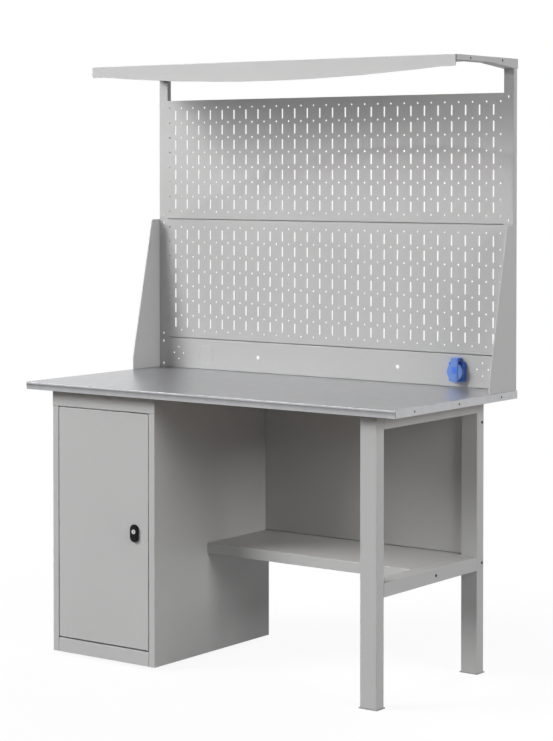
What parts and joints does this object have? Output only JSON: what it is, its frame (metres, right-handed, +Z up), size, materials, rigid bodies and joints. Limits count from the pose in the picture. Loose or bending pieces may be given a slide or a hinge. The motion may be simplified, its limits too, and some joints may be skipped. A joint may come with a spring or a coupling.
{
  "type": "workbench with pegboard back wall",
  "caption": "Steel workbench with a lockable cabinet, leg frame, lower shelf, perforated tool panels, socket strip, side cheeks and a canopy with a bowed apron.",
  "frame": {"origin": "on the floor under the middle of the worktop", "axes": "+Z up, +X to the right seen from the front, front towards -Y"},
  "size_m": [1.4024, 0.682, 1.875],
  "materials": {
    "grey_paint": "light grey powder coat, fine grain",
    "galvanised": "smooth galvanised sheet, soft reflections",
    "board_wood": "raw particle board",
    "dark_steel": "blackened steel",
    "zinc_steel": "zinc plated",
    "lock_chrome": "nickel plated",
    "black_plastic": "moulded, fine grain",
    "grey_plastic": "moulded, fine grain",
    "blue_base": "moulded, semi-gloss",
    "blue_lid": "moulded, semi-gloss",
    "insert_plastic": "moulded thermoset"
  },
  "bodies": {
    "frame": {"worktop_skin": "galvanised", "worktop_board": "board_wood", "worktop_edge_screws": "dark_steel", "cabinet_side_left": "grey_paint", "cabinet_side_right": "grey_paint", "cabinet_back": "grey_paint", "cabinet_floor": "grey_paint", "cabinet_top": "grey_paint", "cabinet_shelf": "grey_paint", "cabinet_shelf_clips": "zinc_steel", "cabinet_feet": "black_plastic", "front_leg": "grey_paint", "rear_leg": "grey_paint", "front_foot": "grey_plastic", "rear_foot": "grey_plastic", "lower_rail": "grey_paint", "upper_rail": "grey_paint", "frame_bolts": "dark_steel", "lower_shelf": "grey_paint", "back_panel": "grey_paint", "left_post": "grey_paint", "right_post": "grey_paint", "upper_pegboard": "grey_paint", "lower_pegboard": "grey_paint", "socket_strip": "grey_paint", "left_cheek": "grey_paint", "right_cheek": "grey_paint", "canopy": "grey_paint", "left_arm": "grey_paint", "right_arm": "grey_paint", "canopy_screws": "dark_steel", "socket_base": "blue_base", "socket_insert": "insert_plastic", "socket_earth_clips": "zinc_steel", "socket_lid_pin": "zinc_steel", "socket_lid_spring": "zinc_steel"},
    "door": {"door": "grey_paint", "door_pivot_pins": "zinc_steel", "lock_escutcheon": "black_plastic", "lock_nut": "zinc_steel"},
    "lock": {"lock_plug": "lock_chrome", "lock_cam": "zinc_steel"},
    "lid": {"socket_lid": "blue_lid"}
  },
  "joints": [
    {"name": "door_swing", "type": "hinge", "parent": "frame", "child": "door", "pos_m": [-0.5775, -0.298, 0.423], "axis": [0, 0, -1], "range_deg": [0, 110]},
    {"name": "lock_turn", "type": "hinge", "parent": "door", "child": "lock", "pos_m": [-0.278, -0.3, 0.423], "axis": [0, -1, 0], "range_deg": [0, 90]},
    {"name": "lid_flip", "type": "hinge", "parent": "frame", "child": "lid", "pos_m": [0.5005, 0.3073, 0.9505], "axis": [-1, 0, 0], "range_deg": [0, 95], "stiffness_Nm_per_rad": 0.03, "springref_deg": -17.19}
  ]
}
